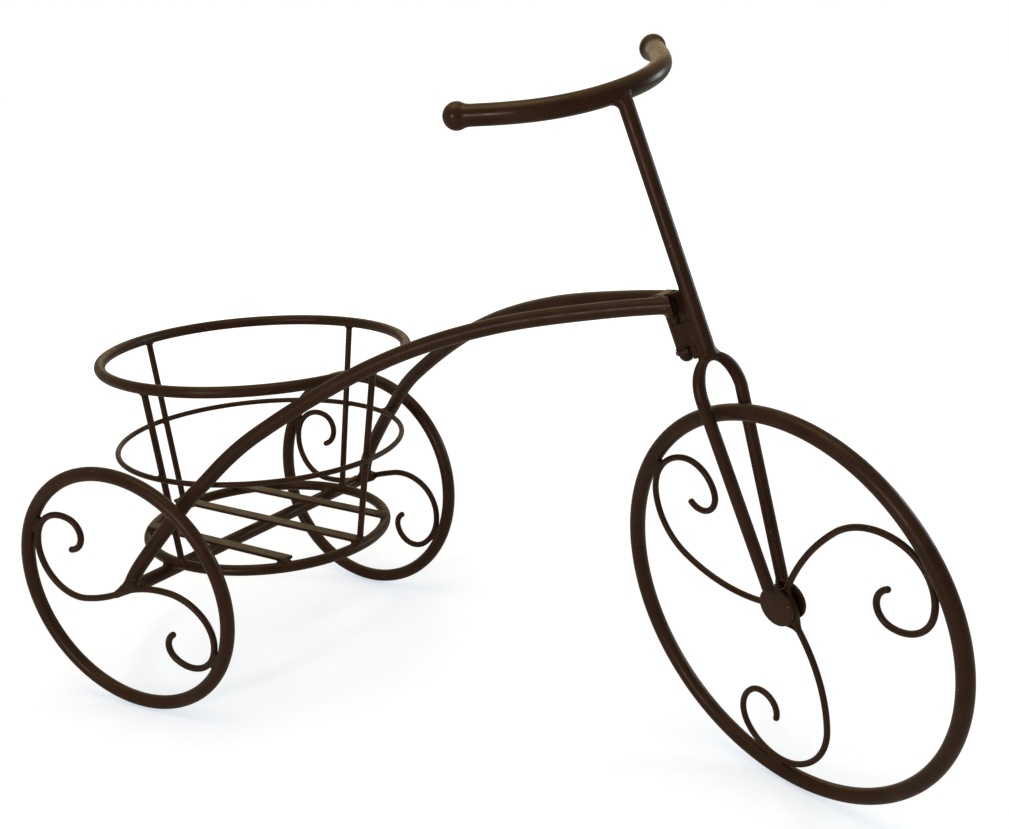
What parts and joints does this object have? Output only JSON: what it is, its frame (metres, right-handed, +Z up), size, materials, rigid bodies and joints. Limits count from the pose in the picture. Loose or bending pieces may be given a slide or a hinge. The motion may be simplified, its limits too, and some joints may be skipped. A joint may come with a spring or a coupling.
{
  "type": "tricycle planter",
  "caption": "Ornamental tricycle of bent steel rod and tube with a round pot basket between the rear wheels, a steering fork and scrolled wheels.",
  "frame": {"origin": "bottom centre of the bounding box, on the floor", "axes": "+X towards the front wheel, +Y to the planter's left, +Z up"},
  "size_m": [0.8178, 0.376, 0.5647],
  "materials": {
    "paint": "semi-gloss dark brown paint",
    "fastener_paint": "semi-gloss dark brown paint over plated steel"
  },
  "bodies": {
    "frame": {"frame_tube_left": "paint", "frame_tube_right": "paint", "rear_axle": "paint", "head_sleeve": "paint", "rear_rim_left": "paint", "rear_scroll_left": "paint", "rear_rim_right": "paint", "rear_scroll_right": "paint", "basket_top_ring": "paint", "basket_middle_ring": "paint", "basket_lower_ring": "paint", "basket_upright_front": "paint", "basket_upright_rear": "paint", "basket_upright_left": "paint", "basket_upright_right": "paint", "floor_slat_left": "paint", "floor_slat_middle": "paint", "floor_slat_right": "paint"},
    "steering": {"fork": "paint", "stem": "paint", "handlebar": "paint", "handlebar_ball_left": "paint", "handlebar_ball_right": "paint", "upper_lug": "paint", "lower_lug": "paint", "lug_web": "paint", "crown_gusset": "paint", "spacer": "paint", "steering_bolt": "fastener_paint", "bolt_washer": "fastener_paint", "cap_nut": "fastener_paint", "hub_disc_left": "paint", "hub_disc_right": "paint", "front_axle_pin": "fastener_paint"},
    "front_wheel": {"front_hub_barrel": "paint", "front_rim": "paint", "front_scroll_1": "paint", "front_scroll_2": "paint", "front_scroll_3": "paint"}
  },
  "joints": [
    {"name": "steering_hinge", "type": "hinge", "parent": "frame", "child": "steering", "pos_m": [0.1639, 0.00692, 0.37493], "axis": [-0.3584, 0, 0.9336], "range_deg": [-7.1, 48.9]},
    {"name": "front_wheel_spin", "type": "hinge", "parent": "steering", "child": "front_wheel", "pos_m": [0.25745, 0.00312, 0.15912], "axis": [0.3284, 0.9348, 0.1354], "continuous": true}
  ]
}
